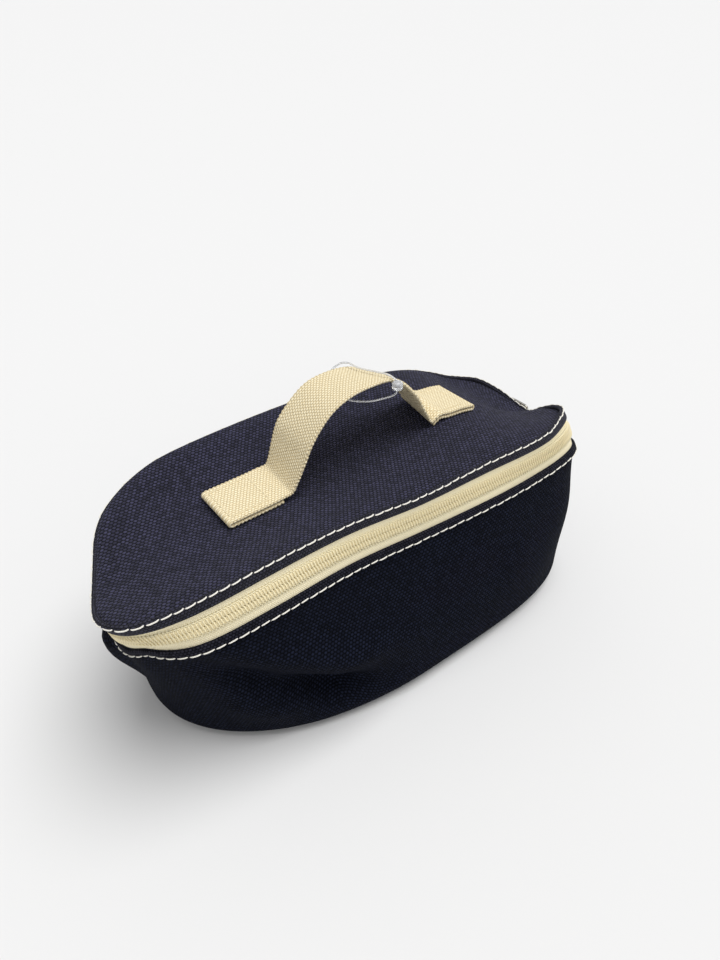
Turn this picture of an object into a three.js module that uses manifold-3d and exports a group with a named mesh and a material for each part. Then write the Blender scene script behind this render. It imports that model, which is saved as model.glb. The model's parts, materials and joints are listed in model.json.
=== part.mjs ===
// Insulated cooler bag: a soft navy canvas tub and lid with foam and foil inside,
// joined by a canvas hinge at the back and a coil zip round the other three sides,
// with a webbing handle on the lid. Millimetres, +Z up, long side along X, front
// towards -Y, standing on z = 0.
import * as THREE from 'three';
import * as BufferGeometryUtils from 'three/addons/utils/BufferGeometryUtils.js';
import Module from 'manifold-3d';

const wasm = await Module();
wasm.setup();

// Driving dimensions
const gap = 0.3; // between neighbouring pieces
const zipHalfLength = 117; // plan of the bag at the zip
const zipHalfWidth = 50;
const cornerRadius = 26;
const zipHeight = 88;
const hemGap = 13; // zip band left showing between the two hems
const hemHeight = 5;
const canvas = 1.4;
const hemFold = 1.2;
const foam = 3;
const foil = 0.6;
const tape = 0.6;
const coilHeight = 2.5;
const coilDepth = 1.8;
const coilGap = 1.2; // between the two halves of the coil
const threadSize = 0.5;
const bindingHeight = 1.2; // of the edge binding in the tub
const lidBinding = 0.6; // and in the lid
const webbingWidth = 25;
const webbing = 1.8;
const patchOuter = 66; // handle ends, from the middle of the lid
const patchInner = 41;
const handleTop = 128;
const lidMiddle = 95;
const lidRim = 104;
const endDrop = 14; // how far the empty bag sinks at its two ends
const dropFrom = 84; // distance from the middle where it starts to sink
const dropTo = 112;
const rightPull = 5; // the right end is also drawn in
const pullFrom = 60;
const pullTo = 105;

const hemBottom = zipHeight - hemGap / 2; // top edge of the body
const hemTop = zipHeight + hemGap / 2; // bottom edge of the lid
const tapeInset = canvas + gap;
const foamInset = tapeInset + tape + gap;
const linerInset = foamInset + foam + gap;
const innerInset = linerInset + foil;

// Outer face of the tub from the floor up: half length, half width, height, and the
// direction in which the layers inside it are stacked, 90 being straight up.
const tubShape = [
  [105, 48, 0, 90],
  [109.5, 52.5, 1.5, 62],
  [112.5, 55.8, 6, 30],
  [114, 57.5, 16, 6],
  [116, 55, 48, 0],
  [zipHalfLength, zipHalfWidth, 74, 0],
  [zipHalfLength, zipHalfWidth, hemBottom, 0],
];

// Outer face of the lid from the rim inward: distance in from the edge, height.
const lidShape = [
  [0, 100],
  [1.8, 102.8],
  [5, lidRim],
  [10, lidRim],
  [20, 100.5],
  [30, 96],
  [34, lidMiddle + 0.2],
];

const cornerSteps = 6;
const allRound = Array.from({ length: 4 * (cornerSteps + 1) }, (_, i) => i);
const zipSides = allRound.slice(2, 26); // from one back corner round the front to the other
const backSide = [26, 27, 0, 1];

function material(color, roughness, metalness = 0) {
  return new THREE.MeshStandardMaterial({ color, roughness, metalness });
}

const navy = () => material(0x23252f, 0.92);
const cream = () => material(0xf0e4bc, 0.85);
const white = () => material(0xecebe6, 0.8);
const silver = () => material(0xc8cbce, 0.3, 0.9);
const nickel = () => material(0xb9b7b0, 0.28, 1);
const clear = () => material(0xe9eef0, 0.2);

// A rounded rectangle at one height, from the back right corner clockwise.
function outline({ length, width, z, inset = 0 }) {
  const radius = Math.max(cornerRadius - inset, 0.5);
  const x = length - inset - radius;
  const y = width - inset - radius;
  const corners = [[x, y, 90], [x, -y, 0], [-x, -y, -90], [-x, y, -180]];
  const points = [];
  for (const [cx, cy, start] of corners) {
    for (let step = 0; step <= cornerSteps; step += 1) {
      const angle = THREE.MathUtils.degToRad(start - (90 * step) / cornerSteps);
      points.push([cx + radius * Math.cos(angle), cy + radius * Math.sin(angle), z]);
    }
  }
  return points;
}

// A geometry from points and triangles, turned so that its faces point out.
function closedGeometry(points, triangles) {
  let volume = 0;
  for (const [a, b, c] of triangles) {
    const [ax, ay, az] = points[a];
    const [bx, by, bz] = points[b];
    const [cx, cy, cz] = points[c];
    volume += ax * (by * cz - bz * cy) - ay * (bx * cz - bz * cx) + az * (bx * cy - by * cx);
  }
  const index = volume > 0 ? triangles : triangles.map(([a, b, c]) => [a, c, b]);
  const geometry = new THREE.BufferGeometry();
  geometry.setAttribute('position', new THREE.Float32BufferAttribute(points.flat(), 3));
  geometry.setIndex(index.flat());
  geometry.computeVertexNormals();
  return geometry;
}

// A closed profile carried round the plan, all the way or along some of its points.
function ringGeometry(stations, path = allRound) {
  const rings = stations.map((station) => {
    const points = outline(station);
    return path.map((i) => points[i]);
  });
  const points = rings.flat();
  const count = path.length;
  const whole = path === allRound;
  const triangles = [];
  for (let s = 0; s < rings.length; s += 1) {
    const next = (s + 1) % rings.length;
    for (let i = 0; i < (whole ? count : count - 1); i += 1) {
      const j = (i + 1) % count;
      triangles.push([s * count + i, s * count + j, next * count + j]);
      triangles.push([s * count + i, next * count + j, next * count + i]);
    }
  }
  if (!whole) {
    for (let s = 1; s < rings.length - 1; s += 1) {
      triangles.push([0, s * count, (s + 1) * count]);
      triangles.push([count - 1, (s + 2) * count - 1, (s + 1) * count - 1]);
    }
  }
  return closedGeometry(points, triangles);
}

// Outlines stacked from a closed end to a closed end, such as a panel or a tub.
function stackGeometry(stations) {
  const rings = stations.map(outline);
  const count = allRound.length;
  const points = rings.flat();
  const triangles = [];
  for (let s = 0; s < rings.length - 1; s += 1) {
    for (let i = 0; i < count; i += 1) {
      const j = (i + 1) % count;
      triangles.push([s * count + i, s * count + j, (s + 1) * count + j]);
      triangles.push([s * count + i, (s + 1) * count + j, (s + 1) * count + i]);
    }
  }
  const first = points.push([0, 0, stations[0].z]) - 1;
  const last = points.push([0, 0, stations.at(-1).z]) - 1;
  for (let i = 0; i < count; i += 1) {
    const j = (i + 1) % count;
    triangles.push([first, j, i]);
    triangles.push([last, (rings.length - 1) * count + i, (rings.length - 1) * count + j]);
  }
  return closedGeometry(points, triangles);
}

// The tub's stations for a layer that lies some way in from the outer face.
function tubLayer(depth, top = hemBottom) {
  return tubShape.map(([length, width, height, lean], i) => {
    const angle = THREE.MathUtils.degToRad(lean);
    const z = i === tubShape.length - 1 ? top : height + depth * Math.sin(angle);
    return { length, width, z, inset: depth * Math.cos(angle) };
  });
}

// The lid's stations for a layer some way down, from an edge at its own inset.
function lidLayer(depth, edge) {
  return lidShape.map(([inset, height], i) => {
    const z = i === 0 ? height - depth + gap : height - depth;
    return { length: zipHalfLength, width: zipHalfWidth, z, inset: edge + inset * (1 - edge / 40) };
  });
}

function zipStation(inset, z) {
  return { length: zipHalfLength, width: zipHalfWidth, z, inset };
}

// A band of constant section round the plan at the zip.
function bandGeometry(insetOut, insetIn, zLow, zHigh, path = allRound) {
  const corners = [
    zipStation(insetOut, zLow),
    zipStation(insetOut, zHigh),
    zipStation(insetIn, zHigh),
    zipStation(insetIn, zLow),
  ];
  return ringGeometry(corners, path);
}

function threadBand(inset, low) {
  return bandGeometry(inset - threadSize, inset, low, low + threadSize);
}

// manifold-3d joins and cuts
function toSolid(geometry) {
  const plain = geometry.clone();
  plain.deleteAttribute('normal');
  plain.deleteAttribute('uv');
  const merged = BufferGeometryUtils.mergeVertices(plain, 1e-4);
  const mesh = new wasm.Mesh({
    numProp: 3,
    vertProperties: Float32Array.from(merged.attributes.position.array),
    triVerts: Uint32Array.from(merged.index.array),
  });
  return new wasm.Manifold(mesh);
}

function fromSolid(solid) {
  const { vertProperties, triVerts } = solid.getMesh();
  const geometry = new THREE.BufferGeometry();
  geometry.setAttribute('position', new THREE.BufferAttribute(vertProperties, 3));
  geometry.setIndex(new THREE.BufferAttribute(triVerts, 1));
  geometry.computeVertexNormals();
  return geometry;
}

function boxBetween([x0, y0, z0], [x1, y1, z1]) {
  const box = new THREE.BoxGeometry(x1 - x0, y1 - y0, z1 - z0);
  box.translate((x0 + x1) / 2, (y0 + y1) / 2, (z0 + z1) / 2);
  return box;
}

function joined(geometries) {
  return fromSolid(geometries.map(toSolid).reduce((sum, piece) => sum.add(piece)));
}

// The soft bag sinks at both ends: the full drop above settleHeight, none at the floor.
const settleHeight = 70;

function settle(x, z) {
  const drop = THREE.MathUtils.smoothstep(Math.abs(x), dropFrom, dropTo);
  const pull = THREE.MathUtils.smoothstep(x, pullFrom, pullTo);
  const share = THREE.MathUtils.clamp(z / settleHeight, 0, 1);
  return { x: x - rightPull * pull, z: z - endDrop * drop * share };
}

function settled(geometry) {
  const { position } = geometry.attributes;
  for (let i = 0; i < position.count; i += 1) {
    const { x, z } = settle(position.getX(i), position.getZ(i));
    position.setX(i, x);
    position.setZ(i, z);
  }
  return geometry;
}

function piece(group, name, geometry, look) {
  const mesh = new THREE.Mesh(geometry, look);
  mesh.name = name;
  group.add(mesh);
  return mesh;
}

function softPiece(group, name, geometry, look) {
  return piece(group, name, settled(geometry), look);
}

// Tub: canvas wall and base, foam, foil, edge binding and its half of the zip.
function buildBody() {
  const body = new THREE.Group();
  const basePanel = { length: tubShape[0][0] - gap, width: tubShape[0][1] - gap };
  const baseLayers = [{ ...basePanel, z: 0 }, { ...basePanel, z: canvas }];
  softPiece(body, 'base_panel', stackGeometry(baseLayers), navy());
  const wall = [...tubLayer(0), ...tubLayer(canvas).reverse()];
  softPiece(body, 'body_wall', ringGeometry(wall), navy());
  const foamTop = hemBottom - 0.5;
  const foamTub = [...tubLayer(foamInset, foamTop), ...tubLayer(foamInset + foam, foamTop).reverse()];
  softPiece(body, 'body_foam', stackGeometry(foamTub), white());
  const linerTub = [...tubLayer(linerInset, foamTop), ...tubLayer(innerInset, foamTop).reverse()];
  softPiece(body, 'body_liner', stackGeometry(linerTub), silver());
  const bindingLow = foamTop + gap;
  const binding = bandGeometry(foamInset, innerInset, bindingLow, bindingLow + bindingHeight);
  softPiece(body, 'body_binding', binding, navy());

  const hemOut = -gap - hemFold;
  softPiece(body, 'body_hem', bandGeometry(hemOut, -gap, hemBottom - hemHeight, hemBottom), navy());
  const threadLow = hemBottom - hemHeight / 2 - threadSize / 2;
  softPiece(body, 'body_thread', threadBand(hemOut - gap, threadLow), cream());

  const tapeEdge = zipHeight - 0.8;
  const tapeLow = hemBottom - 6.5;
  const lowerTape = bandGeometry(tapeInset, tapeInset + tape, tapeLow, tapeEdge, zipSides);
  softPiece(body, 'body_tape', lowerTape, cream());
  const coilEdge = zipHeight - coilGap / 2;
  const coilIn = tapeInset - gap;
  softPiece(
    body,
    'body_coil',
    bandGeometry(coilIn - coilDepth, coilIn, coilEdge - coilHeight, coilEdge, zipSides),
    cream(),
  );
  const hinge = bandGeometry(tapeInset, tapeInset + 0.8, tapeLow, zipHeight + 3, backSide);
  softPiece(body, 'hinge_panel', hinge, navy());
  return body;
}

// Lid: dished canvas shell, foam, foil, edge binding and its half of the zip.
function buildLid() {
  const lid = new THREE.Group();
  const shellOut = lidLayer(0, 0);
  const shellIn = lidLayer(canvas, canvas);
  const shell = [zipStation(canvas, hemTop), zipStation(0, hemTop), ...shellOut, ...shellIn.reverse()];
  softPiece(lid, 'lid_shell', lidPanelGeometry(shell, shellOut.length + 2), navy());
  const foamOut = lidLayer(canvas + 2 * gap, foamInset + gap);
  const foamIn = lidLayer(canvas + 2 * gap + foam, foamInset + gap);
  softPiece(lid, 'lid_foam', lidPanelGeometry([...foamOut, ...foamIn.reverse()], foamOut.length), white());
  const linerTop = canvas + 3 * gap + foam;
  const linerOut = lidLayer(linerTop, foamInset + gap);
  const linerIn = lidLayer(linerTop + foil, foamInset + gap);
  const liner = lidPanelGeometry([...linerOut, ...linerIn.reverse()], linerOut.length);
  softPiece(lid, 'lid_liner', liner, silver());
  const binding = bandGeometry(foamInset, innerInset, hemTop - gap - lidBinding, hemTop - gap);
  softPiece(lid, 'lid_binding', binding, navy());

  const hemOut = -gap - hemFold;
  softPiece(lid, 'lid_hem', bandGeometry(hemOut, -gap, hemTop, hemTop + hemHeight), navy());
  const threadLow = hemTop + hemHeight / 2 - threadSize / 2;
  softPiece(lid, 'lid_thread', threadBand(hemOut - gap, threadLow), cream());

  const tapeEdge = zipHeight + 0.8;
  const upperTape = bandGeometry(tapeInset, tapeInset + tape, tapeEdge, hemTop + 3.5, zipSides);
  softPiece(lid, 'lid_tape', upperTape, cream());
  const coilEdge = zipHeight + coilGap / 2;
  const coilIn = tapeInset - gap;
  softPiece(
    lid,
    'lid_coil',
    bandGeometry(coilIn - coilDepth, coilIn, coilEdge, coilEdge + coilHeight, zipSides),
    cream(),
  );
  return lid;
}

// A dished panel: its upper face runs in to the middle and its lower face runs back
// out, so the two meet only round the edge.
function lidPanelGeometry(stations, upperCount) {
  const rings = stations.map(outline);
  const count = allRound.length;
  const points = rings.flat();
  const triangles = [];
  for (let s = 0; s < rings.length; s += 1) {
    const next = (s + 1) % rings.length;
    if (s !== upperCount - 1) {
      for (let i = 0; i < count; i += 1) {
        const j = (i + 1) % count;
        triangles.push([s * count + i, s * count + j, next * count + j]);
        triangles.push([s * count + i, next * count + j, next * count + i]);
      }
    }
  }
  const upper = upperCount - 1;
  const lower = upperCount;
  const upperMiddle = points.push([0, 0, stations[upper].z - 0.2]) - 1;
  const lowerMiddle = points.push([0, 0, stations[lower].z - 0.2]) - 1;
  for (let i = 0; i < count; i += 1) {
    const j = (i + 1) % count;
    triangles.push([upper * count + i, upper * count + j, upperMiddle]);
    triangles.push([lower * count + j, lower * count + i, lowerMiddle]);
  }
  return closedGeometry(points, triangles);
}

// Small stops that close the four ends of the coil.
const stopAngle = THREE.MathUtils.degToRad(67.5); // round the back corner, past the coil's end
const stopRadius = cornerRadius + gap - 1.6;

function buildStop(side, level) {
  const stop = new THREE.BoxGeometry(2, 2.6, coilHeight);
  const angle = stopAngle;
  const x = zipHalfLength - cornerRadius + stopRadius * Math.cos(angle);
  const y = zipHalfWidth - cornerRadius + stopRadius * Math.sin(angle);
  stop.rotateZ(angle);
  stop.translate(x, y, zipHeight + level * (coilGap + coilHeight) / 2);
  if (side < 0) {
    stop.applyMatrix4(new THREE.Matrix4().makeScale(-1, 1, 1));
    const index = stop.index.array;
    for (let i = 0; i < index.length; i += 3) {
      [index[i], index[i + 1]] = [index[i + 1], index[i]];
    }
  }
  return stop;
}

// Webbing handle: one strap, flat where it is sewn down and arched between.
const strapMiddle = lidMiddle + 0.2 + gap + webbing / 2;
const strapPath = new THREE.CatmullRomCurve3([
  new THREE.Vector3(-patchInner, 0, strapMiddle),
  new THREE.Vector3(-36, 0, strapMiddle + 1.5),
  new THREE.Vector3(-31, 0, strapMiddle + 10),
  new THREE.Vector3(-25, 0, strapMiddle + 20),
  new THREE.Vector3(-15, 0, strapMiddle + 29),
  new THREE.Vector3(0, 0, handleTop - webbing / 2),
  new THREE.Vector3(15, 0, strapMiddle + 29),
  new THREE.Vector3(25, 0, strapMiddle + 20),
  new THREE.Vector3(31, 0, strapMiddle + 10),
  new THREE.Vector3(36, 0, strapMiddle + 1.5),
  new THREE.Vector3(patchInner, 0, strapMiddle),
], false, 'centripetal');

function strapGeometry() {
  const arch = strapPath.getSpacedPoints(36);
  const middle = [
    new THREE.Vector3(-patchOuter, 0, strapMiddle),
    ...arch,
    new THREE.Vector3(patchOuter, 0, strapMiddle),
  ];
  const upper = [];
  const lower = [];
  for (let i = 0; i < middle.length; i += 1) {
    const before = middle[Math.max(i - 1, 0)];
    const after = middle[Math.min(i + 1, middle.length - 1)];
    const along = after.clone().sub(before).normalize();
    const across = new THREE.Vector2(-along.z, along.x).multiplyScalar(webbing / 2);
    const flat = i <= 1 || i >= middle.length - 2;
    const offset = flat ? new THREE.Vector2(0, webbing / 2) : across;
    upper.push(new THREE.Vector2(middle[i].x + offset.x, middle[i].z + offset.y));
    lower.push(new THREE.Vector2(middle[i].x - offset.x, middle[i].z - offset.y));
  }
  const shape = new THREE.Shape([...upper, ...lower.reverse()]);
  const strap = new THREE.ExtrudeGeometry(shape, { depth: webbingWidth, bevelEnabled: false });
  strap.rotateX(Math.PI / 2);
  strap.translate(0, webbingWidth / 2, 0);
  return strap;
}

// A rectangle of thread on top of a sewn-down end of the handle.
function boxStitchGeometry() {
  const inset = 3;
  const long = (patchOuter - patchInner) / 2 - inset;
  const wide = webbingWidth / 2 - inset;
  const low = strapMiddle + webbing / 2 + gap;
  const outer = boxBetween([-long, -wide, low], [long, wide, low + threadSize]);
  const hollow = boxBetween(
    [-long + threadSize, -wide + threadSize, low - 1],
    [long - threadSize, wide - threadSize, low + 2],
  );
  return fromSolid(toSolid(outer).subtract(toSolid(hollow)));
}

// Clear loop left on the handle by a shop tag: it goes once round the strap and
// both ends meet in a small lock.
const loopSize = 0.8;
const loopPath = new THREE.CatmullRomCurve3([
  new THREE.Vector3(17, -15.2, 124.6),
  new THREE.Vector3(17, -14, 122.2),
  new THREE.Vector3(13.5, -11, 120),
  new THREE.Vector3(6, -6.5, 119),
  new THREE.Vector3(0, 0, 120),
  new THREE.Vector3(-1, 7, 122.3),
  new THREE.Vector3(2.5, 13.4, 124.6),
  new THREE.Vector3(7, 14.6, 126.9),
  new THREE.Vector3(10, 12.6, 128.2),
  new THREE.Vector3(12, 5, 128.2),
  new THREE.Vector3(14.6, -4, 129.2),
  new THREE.Vector3(16, -11, 130.2),
  new THREE.Vector3(17, -14.8, 129),
], false, 'centripetal');
const loopSteps = 60;
const lock = { x: 17, y: -15.2, low: 124.9, high: 128.7, radius: 2.4 };

function loopGeometry() {
  const section = new THREE.Shape();
  const sides = 8;
  for (let i = 0; i < sides; i += 1) {
    const angle = (2 * Math.PI * i) / sides;
    const x = (loopSize / 2) * Math.cos(angle);
    const y = (loopSize / 2) * Math.sin(angle);
    if (i === 0) {
      section.moveTo(x, y);
    } else {
      section.lineTo(x, y);
    }
  }
  section.closePath();
  const loop = new THREE.ExtrudeGeometry(section, { steps: loopSteps, extrudePath: loopPath });
  return BufferGeometryUtils.mergeVertices(stripped(loop), 1e-4);
}

function stripped(geometry) {
  geometry.deleteAttribute('uv');
  geometry.deleteAttribute('normal');
  return geometry;
}

function buildHandle() {
  const handle = new THREE.Group();
  piece(handle, 'handle_strap', strapGeometry(), cream());
  const patchMiddle = (patchOuter + patchInner) / 2;
  for (const [name, side] of [['left', -1], ['right', 1]]) {
    const stitch = piece(handle, `handle_stitch_${name}`, boxStitchGeometry(), cream());
    stitch.position.x = side * patchMiddle;
  }
  const barrel = new THREE.CylinderGeometry(lock.radius, lock.radius, lock.high - lock.low, 16);
  barrel.rotateX(Math.PI / 2);
  const placed = piece(handle, 'tag_lock', barrel, white());
  placed.position.set(lock.x, lock.y, (lock.low + lock.high) / 2);
  piece(handle, 'tag_loop', loopGeometry(), clear());
  return handle;
}

// Slider: a plate each side of the coil, joined by a thin post between its halves,
// with a lower guide and a bridge that carries the pull tab.
const sliderY = 18;
const sliderLength = 9;
const sliderPlate = 1.2;
const coilOut = zipHalfLength - (tapeInset - gap - coilDepth);
const plateIn = coilOut + gap;
const plateOut = plateIn + sliderPlate;
const backPlateOut = zipHalfLength - foamInset;
const tabThickness = 1.2;
const tabHinge = plateOut + 1.3;
const plateReach = 4; // each plate's half height
const bridgeReach = 3.6; // how far the bridge stands off the front plate
const bridgeHalf = 2.7;
const bridgeBar = 1;
const bridgeRise = 1.1;

function sliderGeometry() {
  const y0 = sliderY - sliderLength / 2;
  const y1 = sliderY + sliderLength / 2;
  const low = zipHeight - plateReach;
  const high = zipHeight + plateReach;
  const guideHigh = zipHeight - coilGap / 2 - coilHeight - gap;
  const plates = [
    boxBetween([plateIn, y0, low], [plateOut, y1, high]),
    boxBetween([backPlateOut - 1, y0, low], [backPlateOut, y1, high]),
    boxBetween([backPlateOut - 0.5, y0, zipHeight - 0.3], [plateIn + 0.5, y0 + 3, zipHeight + 0.3]),
    boxBetween([zipHalfLength - tapeInset + gap, y0, low], [plateIn + 0.5, y1, guideHigh]),
  ];
  const left = sliderY - bridgeHalf;
  const right = sliderY + bridgeHalf;
  const root = plateOut - 0.2;
  const tip = plateOut + bridgeReach;
  const under = zipHeight - bridgeRise;
  const over = zipHeight + bridgeRise;
  const bridge = [
    boxBetween([root, left, under], [tip, left + bridgeBar, over]),
    boxBetween([root, right - bridgeBar, under], [tip, right, over]),
    boxBetween([tip - bridgeBar, left, under], [tip, right, over]),
  ];
  return joined([...plates, ...bridge]);
}

function pullTabGeometry() {
  const half = tabThickness / 2;
  const reach = 26;
  const wide = 3.7;
  const plate = boxBetween([-half, -reach, -wide], [half, half, wide]);
  const window = boxBetween([-2, -6, -2.2], [2, -half, 2.2]);
  const eye = boxBetween([-2, -reach + 2.5, -1.6], [2, -reach + 5.5, 1.6]);
  return fromSolid(toSolid(plate).subtract(toSolid(window)).subtract(toSolid(eye)));
}

const bag = new THREE.Group();
const body = buildBody();
const lid = buildLid();
for (const [sideName, side] of [['left', -1], ['right', 1]]) {
  softPiece(body, `zip_stop_${sideName}_lower`, buildStop(side, -1), nickel());
  softPiece(lid, `zip_stop_${sideName}_upper`, buildStop(side, 1), nickel());
}
lid.add(buildHandle());
bag.add(body, lid);
const sunk = settle(zipHalfLength, zipHeight);
const sliderX = sunk.x - zipHalfLength;
const slider = piece(bag, 'slider_body', sliderGeometry(), nickel());
slider.position.set(sliderX, 0, sunk.z - zipHeight);
const tab = piece(bag, 'pull_tab', pullTabGeometry(), nickel());
tab.position.set(tabHinge + sliderX, sliderY, sunk.z);

export default bag;
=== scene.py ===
# Soft cooler bag: navy canvas tub and lid, cream zip on three sides, webbing handle.
# X runs along the bag and the front is towards -Y. Objects are in metres, settings in mm.
import json
import math
import bpy
import bmesh
import numpy as np
from mathutils import Matrix, Vector


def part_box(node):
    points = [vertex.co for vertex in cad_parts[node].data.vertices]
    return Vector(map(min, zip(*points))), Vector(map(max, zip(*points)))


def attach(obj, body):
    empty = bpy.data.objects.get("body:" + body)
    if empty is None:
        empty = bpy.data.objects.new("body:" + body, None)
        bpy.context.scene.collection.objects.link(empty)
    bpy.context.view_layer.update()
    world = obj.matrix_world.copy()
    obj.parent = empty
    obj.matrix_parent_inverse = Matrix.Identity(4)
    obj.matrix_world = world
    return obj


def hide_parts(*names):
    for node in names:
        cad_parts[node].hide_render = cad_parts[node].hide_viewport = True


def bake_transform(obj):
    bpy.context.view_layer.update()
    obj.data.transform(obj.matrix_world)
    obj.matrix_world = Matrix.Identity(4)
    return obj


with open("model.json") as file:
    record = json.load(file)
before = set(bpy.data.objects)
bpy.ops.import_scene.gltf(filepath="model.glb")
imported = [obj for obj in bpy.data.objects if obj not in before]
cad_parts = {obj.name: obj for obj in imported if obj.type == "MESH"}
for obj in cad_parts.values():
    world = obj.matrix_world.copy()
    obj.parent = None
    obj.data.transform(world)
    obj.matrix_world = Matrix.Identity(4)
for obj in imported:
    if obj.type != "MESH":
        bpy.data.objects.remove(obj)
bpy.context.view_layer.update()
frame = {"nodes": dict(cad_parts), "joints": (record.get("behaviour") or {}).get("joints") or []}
mm = 0.001
hingeSpot = Vector(next(j for j in frame["joints"] if j["name"] == "lid_hinge")["pos_m"])
print("frame loaded,", len(frame["nodes"]), "nodes")

view = {
    "spot": (-146.9, -209.1, 268.7),
    "heading": 36.63,
    "pitch": 37.0,
    "roll": -0.41,
    "lens": 25.94,
}


def makeCamera(settings):
    data = bpy.data.cameras.new("camera")
    data.lens = settings["lens"]
    data.clip_start = 0.01
    camera = bpy.data.objects.new("camera", data)
    bpy.context.scene.collection.objects.link(camera)
    turn = Matrix.Rotation(math.radians(-settings["heading"]), 4, "Z")
    tip = Matrix.Rotation(math.radians(90 - settings["pitch"]), 4, "X")
    roll = Matrix.Rotation(math.radians(settings["roll"]), 4, "Z")
    camera.rotation_euler = (turn @ tip @ roll).to_euler()
    camera.location = Vector(settings["spot"]) * mm
    bpy.context.scene.camera = camera


makeCamera(view)


def newMaterial(name, **values):
    material = bpy.data.materials.new(name)
    material.use_nodes = True
    shader = material.node_tree.nodes["Principled BSDF"]
    for socket, value in values.items():
        shader.inputs[socket.replace("_", " ")].default_value = value
    return material, material.node_tree, shader


studio = {
    "floor": 0.75,
    "floorReach": 60.0,
    "world": 0.48,
    "lamps": {
        "overheadLamp": {"aim": (-0.25, 0.15, -1), "strength": 2.3, "spread": 45},
        "sideLamp": {"aim": (0.75, 0.9, -0.8), "strength": 0.3, "spread": 40},
    },
}


def makeStudio(settings):
    scene = bpy.context.scene
    world = bpy.data.worlds.new("studio")
    world.use_nodes = True
    sky = world.node_tree.nodes["Background"]
    sky.inputs["Color"].default_value = (1, 1, 1, 1)
    sky.inputs["Strength"].default_value = settings["world"]
    scene.world = world
    scene.view_settings.view_transform = "Standard"
    far = settings["floorReach"]
    mesh = bpy.data.meshes.new("floor")
    corners = [(-far, -far, 0), (far, -far, 0), (far, far, 0), (-far, far, 0)]
    mesh.from_pydata(corners, [], [(0, 1, 2, 3)])
    floor = bpy.data.objects.new("floor", mesh)
    scene.collection.objects.link(floor)
    paint, tree, shader = newMaterial("floorPaint", Roughness=0.95, Specular_IOR_Level=0.1)
    shader.inputs["Base Color"].default_value = (*[settings["floor"]] * 3, 1)
    mesh.materials.append(paint)
    for name, lamp in settings["lamps"].items():
        data = bpy.data.lights.new(name, "SUN")
        data.energy = lamp["strength"]
        data.angle = math.radians(lamp["spread"])
        light = bpy.data.objects.new(name, data)
        light.rotation_euler = Vector(lamp["aim"]).to_track_quat("-Z", "Y").to_euler()
        scene.collection.objects.link(light)


makeStudio(studio)
print("camera and studio ready")

# The loop a shop tag hung on: a clear filament round the handle, both ends in a small lock.
tagLoop = {
    "thick": 0.8,
    "length": 79.7,
    "route": [(17, -15.2, 124.6), (17, -14, 122.2), (13.5, -11, 120), (6, -6.5, 119), (0, 0, 120),
              (-1, 7, 122.3), (2.5, 13.4, 124.6), (7, 14.6, 126.9), (10, 12.6, 128.2), (12, 5, 128.2),
              (14.6, -4, 129.2), (16, -11, 130.2), (17, -14.8, 129)],
    "lockProfile": [(0, 124.9), (1.5, 124.9), (2.2, 125.4), (2.4, 126.2), (2.0, 126.6), (2.0, 127.0),
                    (2.4, 127.4), (2.2, 128.2), (1.4, 128.7), (0, 128.7)],
    "lockSides": 28,
}


def unit(vectors):
    return vectors / np.maximum(np.linalg.norm(vectors, axis=-1, keepdims=True), 1e-12)


def runLengths(path):
    # How far along a path each of its points lies.
    return np.concatenate([[0], np.cumsum(np.linalg.norm(np.diff(path, axis=0), axis=1))])


def smoothKeys(keys, at, period=None):
    # A smooth curve through {place: value}; with a period it closes on itself.
    places = np.array(sorted(keys), float)
    values = np.array([keys[place] for place in sorted(keys)], float)
    if period:
        places = np.concatenate([places[-2:] - period, places, places[:2] + period])
        values = np.concatenate([values[-2:], values, values[:2]])
        at = np.mod(at, period)
    slopes = np.gradient(values, places)
    at = np.clip(at, places[0], places[-1])
    i = np.clip(np.searchsorted(places, at, side="right") - 1, 0, len(places) - 2)
    width = places[i + 1] - places[i]
    s = (at - places[i]) / width
    start = (1 + 2 * s) * (1 - s) ** 2 * values[i] + s * (1 - s) ** 2 * width * slopes[i]
    return start + s * s * (3 - 2 * s) * values[i + 1] - s * s * (1 - s) * width * slopes[i + 1]


def meshObject(name, points, faces, material, cornerUv=None, weld=None, sharp=None):
    mesh = bpy.data.meshes.new(name)
    mesh.from_pydata(np.asarray(points, float).tolist(), [], [tuple(f) for f in faces])
    if cornerUv is not None:
        layer = mesh.uv_layers.new(name="cloth")
        layer.data.foreach_set("uv", np.asarray(cornerUv, np.float32).ravel())
    mesh.materials.append(material)
    work = bmesh.new()
    work.from_mesh(mesh)
    if weld:
        bmesh.ops.remove_doubles(work, verts=work.verts, dist=weld)
    bmesh.ops.recalc_face_normals(work, faces=work.faces)
    for face in work.faces:
        face.smooth = True
    if sharp:
        for edge in work.edges:
            if len(edge.link_faces) == 2 and edge.calc_face_angle() > math.radians(sharp):
                edge.smooth = False
    work.to_mesh(mesh)
    work.free()
    piece = bpy.data.objects.new(name, mesh)
    bpy.context.scene.collection.objects.link(piece)
    return piece


def gridFaces(rows, columns, closeRows, closeColumns):
    r, c = np.indices((rows - (not closeRows), columns - (not closeColumns))).reshape(2, -1)
    here, after = r * columns, (r + 1) % rows * columns
    nextColumn = (c + 1) % columns
    return np.stack([here + c, here + nextColumn, after + nextColumn, after + c], 1), r, c


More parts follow.
